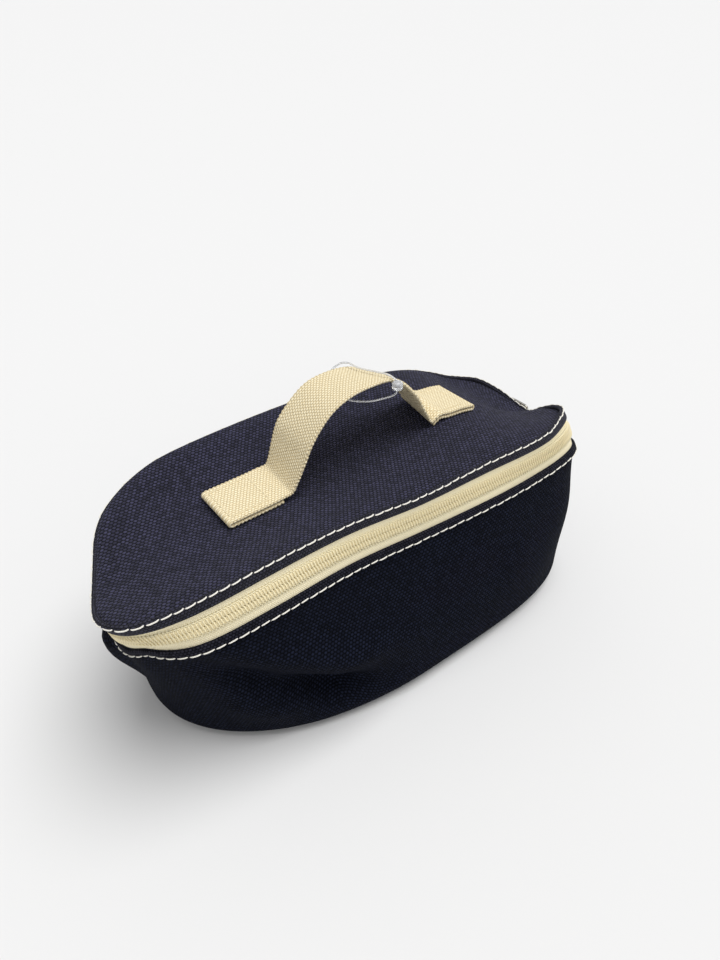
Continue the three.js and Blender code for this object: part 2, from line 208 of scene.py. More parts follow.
def gridObject(name, points, along, across, material, closeRows=False, closeColumns=False, weld=None,
               caps=False):
    # points is rows x columns x 3. along and across give the cloth's own lengths at each
    # point, with one row or column more where the grid closes on itself.
    rows, columns = points.shape[:2]
    faces, r, c = gridFaces(rows, columns, closeRows, closeColumns)
    along = np.broadcast_to(along, (rows + closeRows, columns + closeColumns))
    across = np.broadcast_to(across, (rows + closeRows, columns + closeColumns))
    uv = np.stack([np.stack([grid[corner] for grid in (along, across)], 1)
                   for corner in ((r, c), (r, c + 1), (r + 1, c + 1), (r + 1, c))], 1)
    faces, uv = faces.tolist(), uv.reshape(-1, 2).tolist()
    if caps:
        for column in (0, columns - 1):
            faces.append([row * columns + column for row in range(rows)])
            uv += [[along[row, column], across[row, column]] for row in range(rows)]
    return meshObject(name, points.reshape(-1, 3), faces, material, uv, weld)


def surfaceNormals(points):
    # Columns run counterclockwise; rows run down a wall or in over a panel.
    alongColumns = np.roll(points, -1, 1) - np.roll(points, 1, 1)
    return unit(np.cross(alongColumns, np.gradient(points, axis=0)))


def tubes(name, paths, radius, sides, material, flat=1.0, up=(0, 0, 1)):
    # One mesh of round or flattened tubes along several paths with closed ends.
    points, faces, uv = [], [], []
    for path in paths:
        path = np.asarray(path, float)
        count = len(path)
        ahead = unit(np.gradient(path, axis=0))
        side = unit(np.cross(ahead, np.broadcast_to(np.array(up, float), ahead.shape)))
        over = np.cross(side, ahead)
        first = len(points)
        run = runLengths(path)
        girth = 2 * math.pi * radius / sides
        for k in range(count):
            for s in range(sides):
                angle = 2 * math.pi * s / sides
                across = side[k] * (math.cos(angle) * radius)
                points.append(path[k] + across + over[k] * (math.sin(angle) * radius * flat))
        for k in range(count - 1):
            low, high = first + k * sides, first + (k + 1) * sides
            here, there = run[k], run[k + 1]
            for s in range(sides):
                after = (s + 1) % sides
                faces.append((low + s, low + after, high + after, high + s))
                near, far = girth * s, girth * (s + 1)
                uv += [(here, near), (here, far), (there, far), (there, near)]
        for k in (0, count - 1):
            faces.append([first + k * sides + s for s in range(sides)])
            uv += [(run[k], 0)] * sides
    return meshObject(name, points, faces, material, uv)


def latheObject(name, centre, profile, sides, material):
    angles = np.arange(sides) * 2 * math.pi / sides
    rings = []
    for radius, height in profile:
        x, y = centre[0] + np.cos(angles) * radius, centre[1] + np.sin(angles) * radius
        rings.append(np.stack([x, y, np.full(sides, float(height))], 1) * mm)
    return gridObject(name, np.array(rings), 0, 0, material, closeColumns=True, weld=1e-6)


# Shared effects: woven grains, slow colour drift, twisted thread and crinkled foil.
def newGroup(name, inputs, outputs):
    group = bpy.data.node_groups.new(name, "ShaderNodeTree")
    for label, kind, value in inputs:
        socket = group.interface.new_socket(label, in_out="INPUT", socket_type=kind)
        if value is not None:
            socket.default_value = value
    for label, kind in outputs:
        group.interface.new_socket(label, in_out="OUTPUT", socket_type=kind)
    return group, group.nodes.new("NodeGroupInput"), group.nodes.new("NodeGroupOutput")


def plug(tree, socket, value):
    if hasattr(value, "is_output"):
        tree.links.new(value, socket)
    else:
        socket.default_value = value


def calc(tree, operation, *values, clamp=False):
    # One step of arithmetic in a node tree.
    node = tree.nodes.new("ShaderNodeMath")
    node.operation = operation
    node.use_clamp = clamp
    for socket, value in zip(node.inputs, values):
        plug(tree, socket, value)
    return node.outputs[0]


def blendColor(tree, share, first, second):
    node = tree.nodes.new("ShaderNodeMix")
    node.data_type = "RGBA"
    for socket, value in ((0, share), (6, first), (7, second)):
        plug(tree, node.inputs[socket], value)
    return node.outputs[2]


def colorBetween(tree, shader, share, first, second):
    # The base colour runs between two colours by a mask.
    blend = blendColor(tree, share, (*first, 1), (*second, 1))
    tree.links.new(blend, shader.inputs["Base Color"])


def noise(tree, vector, scale, detail=2.0, rough=0.5):
    node = tree.nodes.new("ShaderNodeTexNoise")
    plug(tree, node.inputs["Vector"], vector)
    node.inputs["Scale"].default_value = scale
    node.inputs["Detail"].default_value = detail
    node.inputs["Roughness"].default_value = rough
    return node.outputs["Fac"]


def makeWeaveGroup():
    # Staggered rounded grains, as a plain weave shows: each row is half a step on. The colour is lightest
    # on each grain's dome and falls to the gap colour at its edges, which is painted shade between the
    # grains; a random dulling from grain to grain is the cloth's own uneven tone.
    group, start, end = newGroup("wovenGrains", [
        ("Cloth", "NodeSocketVector", None),
        ("Step Along", "NodeSocketFloat", 0.0013),
        ("Step Across", "NodeSocketFloat", 0.0011),
        ("Wander", "NodeSocketFloat", 0.15),
        ("Unevenness", "NodeSocketFloat", 0.5),
        ("Ground", "NodeSocketColor", (0, 0, 0, 1)),
        ("Grain", "NodeSocketColor", (1, 1, 1, 1)),
    ], [("Color", "NodeSocketColor"), ("Height", "NodeSocketFloat"), ("Grain Mask", "NodeSocketFloat")])
    into = start.outputs
    split = group.nodes.new("ShaderNodeSeparateXYZ")
    group.links.new(into["Cloth"], split.inputs[0])
    drift = calc(group, "SUBTRACT", noise(group, into["Cloth"], 260.0), 0.5)
    drift2 = calc(group, "SUBTRACT", noise(group, into["Cloth"], 190.0), 0.5)
    x = calc(group, "DIVIDE", split.outputs[0], into["Step Along"])
    y = calc(group, "DIVIDE", split.outputs[1], into["Step Across"])
    x = calc(group, "MULTIPLY_ADD", drift, into["Wander"], x)
    y = calc(group, "MULTIPLY_ADD", drift2, into["Wander"], y)
    row = calc(group, "FLOOR", y)
    shift = calc(group, "FRACT", calc(group, "MULTIPLY", row, 0.5))
    x = calc(group, "ADD", x, shift)
    cell = group.nodes.new("ShaderNodeCombineXYZ")
    plug(group, cell.inputs[0], calc(group, "FLOOR", x))
    plug(group, cell.inputs[1], row)
    chance = group.nodes.new("ShaderNodeTexWhiteNoise")
    chance.noise_dimensions = "2D"
    group.links.new(cell.outputs[0], chance.inputs["Vector"])
    fx = calc(group, "MULTIPLY", calc(group, "SUBTRACT", calc(group, "FRACT", x), 0.5), 2.1)
    fy = calc(group, "MULTIPLY", calc(group, "SUBTRACT", calc(group, "FRACT", y), 0.5), 2.0)
    far = calc(group, "ADD", calc(group, "MULTIPLY", fx, fx), calc(group, "MULTIPLY", fy, fy))
    dome = calc(group, "SQRT", calc(group, "SUBTRACT", 1.0, far, clamp=True))
    dull = calc(group, "MULTIPLY", chance.outputs["Value"], into["Unevenness"])
    bright = calc(group, "SUBTRACT", 1.0, dull)
    # Dome shape as painted shade between grains, times each grain's own random tone.
    mask = calc(group, "MULTIPLY", dome, bright)
    group.links.new(blendColor(group, mask, into["Ground"], into["Grain"]), end.inputs["Color"])
    plug(group, end.inputs["Height"], dome)
    plug(group, end.inputs["Grain Mask"], mask)
    return group


def makeDriftGroup():
    # A slow change of shade over the piece, with finer mottling in it.
    group, start, end = newGroup("shadeDrift", [
        ("Place", "NodeSocketVector", None),
        ("Color", "NodeSocketColor", (1, 1, 1, 1)),
        ("Faded", "NodeSocketColor", (1, 1, 1, 1)),
        ("Amount", "NodeSocketFloat", 0.5),
    ], [("Color", "NodeSocketColor"), ("Mask", "NodeSocketFloat")])
    wide = noise(group, start.outputs["Place"], 22.0, 3.0)
    fine = noise(group, start.outputs["Place"], 260.0, 3.0)
    both = calc(group, "MULTIPLY_ADD", fine, 0.45, calc(group, "MULTIPLY", wide, 0.9))
    raised = calc(group, "SUBTRACT", both, 0.35, clamp=True)
    mask = calc(group, "MULTIPLY", raised, start.outputs["Amount"], clamp=True)
    faded = blendColor(group, mask, start.outputs["Color"], start.outputs["Faded"])
    group.links.new(faded, end.inputs["Color"])
    plug(group, end.inputs["Mask"], mask)
    return group


def makeTwistGroup():
    # Slanted plies of a twisted thread or a fine ribbed cord.
    group, start, end = newGroup("twistedPlies", [
        ("Cloth", "NodeSocketVector", None),
        ("Ply Step", "NodeSocketFloat", 0.0006),
        ("Slant", "NodeSocketFloat", 0.7),
    ], [("Height", "NodeSocketFloat")])
    split = group.nodes.new("ShaderNodeSeparateXYZ")
    group.links.new(start.outputs["Cloth"], split.inputs[0])
    lean = calc(group, "MULTIPLY_ADD", split.outputs[1], start.outputs["Slant"], split.outputs[0])
    turn = calc(group, "MULTIPLY", calc(group, "DIVIDE", lean, start.outputs["Ply Step"]), 2 * math.pi)
    wave = calc(group, "MULTIPLY_ADD", calc(group, "SINE", turn), 0.5, 0.5)
    plug(group, end.inputs["Height"], wave)
    return group


def makeCrinkleGroup():
    # Flat facets with soft creases between them, as pressed foil shows.
    group, start, end = newGroup("foilCrinkle", [
        ("Place", "NodeSocketVector", None),
        ("Facets", "NodeSocketFloat", 160.0),
    ], [("Height", "NodeSocketFloat"), ("Mask", "NodeSocketFloat")])
    cells = group.nodes.new("ShaderNodeTexVoronoi")
    cells.feature = "DISTANCE_TO_EDGE"
    group.links.new(start.outputs["Place"], cells.inputs["Vector"])
    group.links.new(start.outputs["Facets"], cells.inputs["Scale"])
    crease = calc(group, "MULTIPLY", cells.outputs["Distance"], 3.0, clamp=True)
    lumps = noise(group, start.outputs["Place"], 120.0, 4.0)
    plug(group, end.inputs["Height"], calc(group, "ADD", crease, lumps))
    plug(group, end.inputs["Mask"], calc(group, "SUBTRACT", 1.0, crease))
    return group


weaveGroup = makeWeaveGroup()
driftGroup = makeDriftGroup()
twistGroup = makeTwistGroup()
crinkleGroup = makeCrinkleGroup()


def place(tree, group, **values):
    node = tree.nodes.new("ShaderNodeGroup")
    node.node_tree = group
    for label, value in values.items():
        plug(tree, node.inputs[label.replace("_", " ")], value)
    return node.outputs


def clothPlace(tree):
    node = tree.nodes.new("ShaderNodeUVMap")
    node.uv_map = "cloth"
    return node.outputs[0]


def objectPlace(tree):
    return tree.nodes.new("ShaderNodeTexCoord").outputs["Object"]


def addBump(tree, shader, height, depth):
    node = tree.nodes.new("ShaderNodeBump")
    node.inputs["Strength"].default_value = 1.0
    node.inputs["Distance"].default_value = depth * mm
    tree.links.new(height, node.inputs["Height"])
    tree.links.new(node.outputs[0], shader.inputs["Normal"])


def wovenMaterial(name, look):
    material, tree, shader = newMaterial(
        name,
        Roughness=look.get("rough", 0.85),
        Sheen_Weight=look.get("sheen", 0.0),
        Sheen_Roughness=look.get("sheenRough", 0.5),
        Sheen_Tint=(*look.get("sheenColor", (1, 1, 1)), 1),
        Specular_IOR_Level=look.get("specular", 0.3),
    )
    cloth = clothPlace(tree)
    along, across = look["steps"]
    weave = place(tree, weaveGroup, Cloth=cloth, Step_Along=along * mm, Step_Across=across * mm,
                  Wander=look.get("wander", 0.3), Unevenness=look.get("uneven", 0.5),
                  Ground=(*look["gapShade"], 1), Grain=(*look["grain"], 1))
    faded = blendColor(tree, 0.75, weave["Color"], (*look["faded"], 1))
    shade = place(tree, driftGroup, Place=objectPlace(tree), Color=weave["Color"], Faded=faded,
                  Amount=look["drift"])
    tree.links.new(shade["Color"], shader.inputs["Base Color"])
    addBump(tree, shader, weave["Height"], look["depth"])
    return material


# Navy canvas as it shows on the lid, lit from above.
canvasLook = {
    "steps": (1.85, 1.4), "depth": 0.7, "gapShade": (0.0008, 0.0008, 0.0025), "grain": (0.058, 0.057, 0.112),
    "faded": (0.028, 0.029, 0.052), "drift": 0.2, "sheen": 0.07, "sheenRough": 0.4,
    "sheenColor": (0.8, 0.82, 1.0), "uneven": 0.65, "specular": 0.2,
}
# The same canvas made several times darker for the tub's walls and base: painted shade, as the sides get
# less light than the lid.
shadedTubLook = {
    **canvasLook, "gapShade": (0.0010, 0.0013, 0.003), "grain": (0.0125, 0.016, 0.034),
    "faded": (0.006, 0.008, 0.016), "sheen": 0.0, "specular": 0.06,
}
creamLook = {
    "steps": (1.55, 1.2), "depth": 0.35, "gapShade": (0.72, 0.57, 0.31), "grain": (0.97, 0.88, 0.64),
    "faded": (0.92, 0.83, 0.60), "drift": 0.4, "uneven": 0.25, "rough": 0.8,
}
lidCloth = wovenMaterial("navyLidCanvas", canvasLook)
tubShadedCloth = wovenMaterial("navyTubCanvasPaintedShade", shadedTubLook)
# The tub's hem is likewise a darker, painted-shade copy of the lid's hem cloth.
hemCloths = {
    "lid": wovenMaterial("navyLidHem", {**canvasLook, "steps": (1.3, 1.1), "grain": (0.045, 0.044, 0.070)}),
    "tub": wovenMaterial("navyTubHemPaintedShade", {**shadedTubLook, "steps": (1.3, 1.1), "grain": (0.034, 0.034, 0.052),
                                        "sheen": 0.03}),
}
webbingCloth = wovenMaterial("creamWebbing", creamLook)
tapeCloth = wovenMaterial("zipTapeWeave", {**creamLook, "steps": (0.9, 0.7), "depth": 0.1,
                                           "gapShade": (0.88, 0.76, 0.48), "grain": (0.98, 0.92, 0.70)})
# The binding takes the tub's darker colours, painted shade included.
bindingCloth = wovenMaterial("navyBinding", {**shadedTubLook, "steps": (0.7, 0.6), "depth": 0.12})


def threadMaterial(name, color, plyStep, depth, rough=0.6):
    material, tree, shader = newMaterial(name, Roughness=rough, Specular_IOR_Level=0.35)
    plies = place(tree, twistGroup, Cloth=clothPlace(tree), Ply_Step=plyStep * mm, Slant=0.9)
    # Colour falls by a fifth in the grooves between plies: painted shade.
    plyGrooveShade = tuple(0.8 * part for part in color)
    colorBetween(tree, shader, plies["Height"], plyGrooveShade, color)
    addBump(tree, shader, plies["Height"], depth)
    return material


seamThread = threadMaterial("seamThread", (0.98, 0.95, 0.86), 0.7, 0.08)
boxThread = threadMaterial("handleThread", (0.93, 0.82, 0.56), 0.6, 0.06)
coilNylon = threadMaterial("coilNylon", (0.96, 0.85, 0.56), 1.1, 0.03, rough=0.42)
coilThread = threadMaterial("coilThread", (1.0, 0.91, 0.64), 0.5, 0.02)


def foamMaterial():
    material, tree, shader = newMaterial("whiteFoam", Roughness=0.75, Subsurface_Weight=0.15)
    holes = noise(tree, objectPlace(tree), 900.0, 2.0)
    # Greyer where the noise dips, in the pores: painted shade.
    colorBetween(tree, shader, holes, (0.78, 0.79, 0.8), (0.93, 0.93, 0.92))
    addBump(tree, shader, holes, 0.3)
    return material


def foilMaterial():
    material, tree, shader = newMaterial("foilLining", Metallic=0.9)
    crinkle = place(tree, crinkleGroup, Place=objectPlace(tree), Facets=140.0)
    # Darker along the creases between facets: painted shade.
    colorBetween(tree, shader, crinkle["Mask"], (0.72, 0.74, 0.77), (0.5, 0.52, 0.55))
    rough = calc(tree, "MULTIPLY_ADD", crinkle["Mask"], 0.25, 0.24)
    tree.links.new(rough, shader.inputs["Roughness"])
    addBump(tree, shader, crinkle["Height"], 0.35)
    return material


def nickelMaterial():
    material, tree, shader = newMaterial("brushedNickel", Metallic=1.0)
    where = objectPlace(tree)
    rub = noise(tree, where, 700.0, 4.0)
    colorBetween(tree, shader, rub, (0.50, 0.48, 0.44), (0.74, 0.72, 0.67))
    tree.links.new(calc(tree, "MULTIPLY_ADD", rub, 0.3, 0.15), shader.inputs["Roughness"])
    addBump(tree, shader, rub, 0.03)
    return material


def clearMaterial():
    material, tree, shader = newMaterial("clearNylon", Transmission_Weight=0.6, IOR=1.5)
    cloud = noise(tree, objectPlace(tree), 300.0, 2.0)
    colorBetween(tree, shader, cloud, (0.90, 0.92, 0.95), (1, 1, 1))
    tree.links.new(calc(tree, "MULTIPLY_ADD", cloud, 0.2, 0.1), shader.inputs["Roughness"])
    return material


foamCore = foamMaterial()
foilSheet = foilMaterial()
nickel = nickelMaterial()
clearNylon = clearMaterial()
print("materials ready")


def finishPiece(piece, body, slot, *nodes):
    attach(piece, body)
    if nodes:
        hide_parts(*nodes)
    return piece


def makeTagLoop(settings):
    curve = bpy.data.curves.new("tag_filament", "CURVE")
    curve.dimensions = "3D"
    curve.bevel_depth = settings["thick"] / 2 * mm
    curve.bevel_resolution = 3
    curve.use_fill_caps = True
    spline = curve.splines.new("BEZIER")
    spline.bezier_points.add(len(settings["route"]) - 1)
    for point, spot in zip(spline.bezier_points, settings["route"]):
        point.co = Vector(spot) * mm
        point.handle_left_type = "AUTO"
        point.handle_right_type = "AUTO"
    curve.materials.append(clearNylon)
    filament = bpy.data.objects.new("tag_filament", curve)
    bpy.context.scene.collection.objects.link(filament)
    route = settings["route"]
    lock = latheObject("tag_lock_button", route[0], settings["lockProfile"], settings["lockSides"],
                       clearNylon)
    finishPiece(lock, "lid", "clear_plastic", "tag_lock")
    finishPiece(filament, "lid", "clear_plastic", "tag_loop")


makeTagLoop(tagLoop)
print("tag loop ready")

# The zip's line round the bag. Places run from 0 at the middle of the right end,
# counterclockwise from above: back 0.25, left end 0.5, front 0.75.
zipLine = {
    "middle": -2.5,
    "reach": {"right": 114, "left": 119.5, "front": 50, "back": 50},
    "squareness": {"backRight": 4.0, "backLeft": 3.2, "frontLeft": 4.5, "frontRight": 5},
    "skew": 0.2,  # the left end runs slanting, further out at the front
    "rise": {0.01: -14, 0.04: -14.6, 0.06: -15.5, 0.08: -14.5, 0.1: -11, 0.12: -7.5, 0.14: -5.5,
             0.16: -4.5, 0.2: -4, 0.3: -4.5, 0.38: -6.5, 0.44: -10.5, 0.48: -15.5, 0.52: -15.5,
             0.56: -8, 0.60: -4.8, 0.64: -1.8, 0.70: -1.4, 0.76: -2.2, 0.82: -0.3,
             0.88: 0.6, 0.92: -0.6, 0.95: -7.2, 0.962: -12, 0.97: -14, 0.985: -14.4},
    "out": {0.01: 0, 0.1: 0, 0.25: 0, 0.38: -1.5, 0.44: -3, 0.48: -4.5, 0.52: -0.6, 0.56: -2,
            0.60: -0.5, 0.64: -1, 0.70: -2.8, 0.76: -0.8, 0.82: 2.1, 0.88: 4.2,
            0.92: 2.9, 0.95: 0.6, 0.98: 0},
    "foldUp": 4.0,  # above this the band folds further in over the lid
    "fold": {0.0: 46, 0.02: 36, 0.04: 28, 0.08: 16, 0.12: 10, 0.18: 5, 0.25: 0, 0.5: 0, 0.9: 0,
             0.93: 10, 0.955: 42, 0.98: 58},
    "lean": {0.01: 1, 0.04: 3, 0.07: 12, 0.12: 16, 0.18: 15, 0.25: 15, 0.36: 12, 0.44: -2,
             0.48: -13, 0.52: -11, 0.56: -19, 0.60: 13, 0.64: 21, 0.70: 19, 0.76: 15,
             0.82: 21, 0.88: 14, 0.92: 26, 0.95: 9.5, 0.964: 2, 0.98: 0},
}
aroundCount = 480


def planOutline(reach, squareness):
    # A soft-cornered plan outline with the same number of points in each quarter.
    quarters = [("right", "back", 1, 1), ("left", "back", -1, 1),
                ("left", "front", -1, -1), ("right", "front", 1, -1)]
    pieces = []
    angle = np.linspace(0, math.pi / 2, 1500)
    for i, (end, side, signX, signY) in enumerate(quarters):
        power = 2 / squareness[side + end.capitalize()]
        x, y = reach[end] * np.cos(angle) ** power, reach[side] * np.sin(angle) ** power
        if i % 2:
            x, y = x[::-1], y[::-1]
        run = np.concatenate([[0], np.cumsum(np.hypot(np.diff(x), np.diff(y)))])
        share = np.arange(aroundCount // 4) / (aroundCount // 4) * run[-1]
        pieces.append(np.stack([signX * np.interp(share, run, x), signY * np.interp(share, run, y)], 1))
    return np.concatenate(pieces)


def zipStations(settings):
    where = np.arange(aroundCount) / aroundCount
    points = np.zeros((aroundCount, 3))
    points[:, :2] = planOutline(settings["reach"], settings["squareness"])
    points[:, 0] += settings["middle"]
    toLeft = np.clip((-60 - points[:, 0]) / 60, 0, 1)
    points[:, 0] += settings["skew"] * (points[:, 1] + 25) * toLeft**2 * (3 - 2 * toLeft)

    def frameOf(points):
        ahead = unit(np.roll(points, -1, 0) - np.roll(points, 1, 0))
        outward = unit(np.stack([ahead[:, 1], -ahead[:, 0], np.zeros(aroundCount)], 1))
        return ahead, outward

    points += frameOf(points)[1] * smoothKeys(settings["out"], where, 1)[:, None]
    points[:, 2] = hingeSpot.z / mm + smoothKeys(settings["rise"], where, 1)
    ahead, outward = frameOf(points)
    upright = unit(np.cross(outward, ahead))
    lean = np.radians(smoothKeys(settings["lean"], where, 1))[:, None]
    run = np.concatenate([[0], np.cumsum(np.linalg.norm(np.roll(points, -1, 0) - points, axis=1))])
    return {"where": where, "points": points, "ahead": ahead, "run": run,
            "fold": np.radians(smoothKeys(settings["fold"], where, 1))[:, None],
            "tall": upright * np.cos(lean) - outward * np.sin(lean),
            "face": outward * np.cos(lean) + upright * np.sin(lean)}


zipBand = zipStations(zipLine)


def offBand(points, face, tall, fold, out, up):
    # Out from the band's face and up along it; above foldUp both turn in by the fold.
    up = np.reshape(up, (-1, 1)) * np.ones_like(fold)
    straight = np.minimum(up, zipLine["foldUp"])
    turn = fold * (up > zipLine["foldUp"])
    rise = tall * np.cos(turn) - face * np.sin(turn)
    outward = face * np.cos(turn) + tall * np.sin(turn)
    return points + tall * straight + rise * (up - straight) + outward * np.reshape(out, (-1, 1))


def onBand(out, up):
    # Points in mm off the band at every station.
    return offBand(zipBand["points"], zipBand["face"], zipBand["tall"], zipBand["fold"], out, up)


def sampleRound(values, where):
    # Values between stations, for places that may run past 1.
    at = np.mod(where, 1.0) * aroundCount
    low = np.floor(at).astype(int) % aroundCount
    share = (at - np.floor(at))[:, None]
    return values[low] * (1 - share) + values[(low + 1) % aroundCount] * share


def bandPoints(out, up, where):
    # The same for a run of places with its own out and up at each.
    points, face, tall, fold = (sampleRound(zipBand[key], where)
                                for key in ("points", "face", "tall", "fold"))
    return offBand(points, unit(face), unit(tall), fold, out, up)


def placesAtStep(start, stop, step):
    # Places along the zip line with equal cloth lengths between them.
    run, total = zipBand["run"], zipBand["run"][-1]
    edges = np.append(zipBand["where"], 1.0)
    first = np.interp(np.mod(start, 1), edges, run) + math.floor(start) * total
    last = np.interp(np.mod(stop, 1), edges, run) + math.floor(stop) * total
    count = max(2, int(round((last - first) / step)))
    lengths = np.linspace(first, last, count + 1)
    return np.interp(np.mod(lengths, total), run, edges) + np.floor(lengths / total), lengths


zipStart, zipStop = 0.435, 1.065  # the zip runs by the left end, front and right end

tub = {
    "topUp": -8.5,
    "middle": (-0.5, -2.0),
    "reach": {"right": 115.5, "left": 107.5, "front": 63.6, "back": 58},
    "squareness": {"backRight": 4, "backLeft": 2.6, "frontLeft": 2.05, "frontRight": 3.8},
    "bow": {0: 0, 0.2: 0.26, 0.5: 0.60, 0.8: 0.88, 1: 1},
    "edgeRadius": 9,
    "spine": 50,
    "wallRows": 56,
    "edgeRows": 9,
    "floorRows": 12,
    "anchorRows": 5,  # the strokes fade out over this many rows below the hem
    "strokes": [
        {"line": [(-99, -47, 62), (-88, -53, 48), (-75, -58, 37), (-52, -62, 24), (-24, -65, 16)],
         "width": 6.5, "push": -15, "taper": 0.35},
        {"line": [(-96, -52, 72), (-72, -58, 56), (-44, -62, 40), (-10, -63, 32)],
         "width": 8, "push": 8, "taper": 0.4},
        {"line": [(-116, 18, 54), (-117, -4, 54), (-115, -20, 56)],
         "width": 16, "push": 8, "taper": 0.35},
        {"line": [(-96, -38, 30), (-78, -52, 24), (-58, -58, 12)],
         "width": 10, "push": 3, "taper": 0.4},
        {"line": [(40, -60, 52), (70, -60, 30), (86, -58, 12)],
         "width": 14, "push": 2, "taper": 0.4},
        {"line": [(60, -56, 50), (104, -46, 44), (114, -10, 40)],
         "width": 20, "push": 2.5, "taper": 0.4},
    ],
}
lid = {
    "bottomUp": 8.5,
    "spine": 72,
    "rows": 46,
    "centre": {-112: 84, -105: 86, -85: 87, -54: 88, -20: 90, 5: 92, 30: 94, 55: 96, 78: 91, 92: 85,
               106: 80.5},
    "crown": {0: 1.5, 0.06: 1, 0.1: 2.5, 0.14: 4, 0.2: 5, 0.3: 6, 0.38: 6, 0.46: 5, 0.52: 4.5,
              0.6: 4, 0.65: 3.6, 0.75: 3.4, 0.85: 3.2},
    "puff": 2.0,
    "fall": 2.2,
    "roll": 0.18,
    "rowSpread": 1.35,
}


def brush(points, normals, stroke, anchorRows):
    # Pushes the skin along its normals near a line of points, in or out.
    line = np.array(stroke["line"], float)
    total = runLengths(line)
    nearest = np.full(points.shape[:2], 1e9)
    share = np.zeros(points.shape[:2])
    for i in range(len(line) - 1):
        along = line[i + 1] - line[i]
        t = np.clip(((points - line[i]) @ along) / (along @ along), 0, 1)
        gap = np.linalg.norm(points - (line[i] + t[..., None] * along), axis=-1)
        share = np.where(gap < nearest, (total[i] + t * np.linalg.norm(along)) / total[-1], share)
        nearest = np.minimum(nearest, gap)
    ends = np.clip(np.minimum(share, 1 - share) / stroke["taper"], 0, 1)
    ends = 0.12 + 0.88 * ends * ends * (3 - 2 * ends)
    hold = np.clip(np.arange(len(points)) / anchorRows, 0, 1)[:, None]
    push = stroke["push"] * np.exp(-((nearest / stroke["width"]) ** 2)) * ends * hold
    return points + normals * push[..., None]


def towardSpine(ring, spine, share):
    middle = ring.copy()
    middle[:, 0] = np.clip(ring[:, 0], -spine, spine)
    middle[:, 1] = 0
    return ring + (middle - ring) * share


def tubSkin(settings):
    top = onBand(0, settings["topUp"])
    low = np.zeros((aroundCount, 3))
    low[:, :2] = planOutline(settings["reach"], settings["squareness"]) + settings["middle"]
    radius = settings["edgeRadius"]
    low[:, 2] = radius
    rows = []
    for q in np.linspace(0, 1, settings["wallRows"]):
        ring = top + (low - top) * q
        spread = smoothKeys(settings["bow"], np.array(q))
        ring[:, :2] = top[:, :2] + (low[:, :2] - top[:, :2]) * spread
        rows.append(ring)
    inward = unit(towardSpine(low, settings["spine"], 1) - low)
    for angle in np.linspace(0, math.pi / 2, settings["edgeRows"])[1:]:
        ring = low + inward * radius * (1 - math.cos(angle))
        ring[:, 2] = radius * (1 - math.sin(angle))
        rows.append(ring)
    edge = rows[-1]
    for q in np.linspace(0, 1, settings["floorRows"])[1:]:
        rows.append(towardSpine(edge, settings["spine"], q))
    skin = np.array(rows)
    normals = -surfaceNormals(skin)
    for stroke in settings["strokes"]:
        skin = brush(skin, normals, stroke, settings["anchorRows"])
    skin[..., 2] = np.maximum(skin[..., 2], 0)
    return skin


def lidSkin(settings):
    rim = onBand(0, settings["bottomUp"])
    crown = smoothKeys(settings["crown"], zipBand["where"], 1)
    rows = []
    for w in np.linspace(0, 1, settings["rows"]) ** settings["rowSpread"]:
        ring = towardSpine(rim, settings["spine"], w)
        centre = smoothKeys(settings["centre"], ring[:, 0])
        high = centre + (rim[:, 2] + crown - centre) * (1 - w) ** settings["fall"]
        past = min(1.0, w / settings["roll"])
        ring[:, 2] = high - crown * (1 - math.sqrt(1 - (1 - past) ** 2))
        ring += zipBand["face"] * (1, 1, 0) * settings["puff"] * math.sin(math.pi * past)
        rows.append(ring)
    return np.array(rows)


tubPoints = tubSkin(tub)
lidPoints = lidSkin(lid)


def skinUv(skin, flat):
    # Cloth lengths over a skin: round the rim and down for walls, unrolled flat for panels.
    steps = np.linalg.norm(np.diff(skin, axis=0), axis=2)
    drop = np.concatenate([np.zeros((1, aroundCount)), np.cumsum(steps, 0)])
    drop = np.concatenate([drop, drop[:, :1]], 1)
    if not flat:
        return np.broadcast_to(zipBand["run"][None, :], drop.shape) * mm, drop * mm
    spineSpot = skin[-1]
    outward = unit((skin[0] - spineSpot) * (1, 1, 0))
    reach = drop[-1:, :-1] - drop[:, :-1]
    spread = spineSpot[None] + outward[None] * reach[..., None]
    spread = np.concatenate([spread, spread[:, :1]], 1)
    return spread[..., 0] * mm, spread[..., 1] * mm


def skinLayer(name, skin, outer, inner, material, outward, flat=True, ring=False):
    # A closed layer of cloth between two depths under a skin. A ring stays open at
    # both ends; any other skin closes along its last row.
    normals = surfaceNormals(skin) * outward
    points = np.concatenate([(skin - normals * outer)[::-1], skin - normals * inner]) * mm
    along, across = skinUv(skin, flat)
    along, across = np.concatenate([along[::-1], along]), np.concatenate([across[::-1], across])
    if ring:
        along, across = np.concatenate([along, along[:1]]), np.concatenate([across, across[:1]])
    return gridObject(name, points, along, across, material, closeRows=ring, closeColumns=True,
                      weld=None if ring else 2e-5)


layers = {"canvas": (0, 1.2), "foam": (1.5, 4.2), "foil": (4.4, 4.9)}


def makeTub(settings):
    wallEnd = settings["wallRows"] + settings["edgeRows"]
    parts = (
        ("tub_wall", tubPoints[:wallEnd], "canvas", tubShadedCloth, "body_wall", False, True),
        ("tub_base", tubPoints[wallEnd - 1:], "canvas", tubShadedCloth, "base_panel", True, False),
        ("tub_foam", tubPoints, "foam", foamCore, "body_foam", True, False),
        ("tub_liner", tubPoints, "foil", foilSheet, "body_liner", True, False),
    )
    for name, skin, layer, material, node, flat, ring in parts:
        piece = skinLayer(name, skin, *layers[layer], material, -1, flat, ring)
        finishPiece(piece, "bag_body", layer, node)


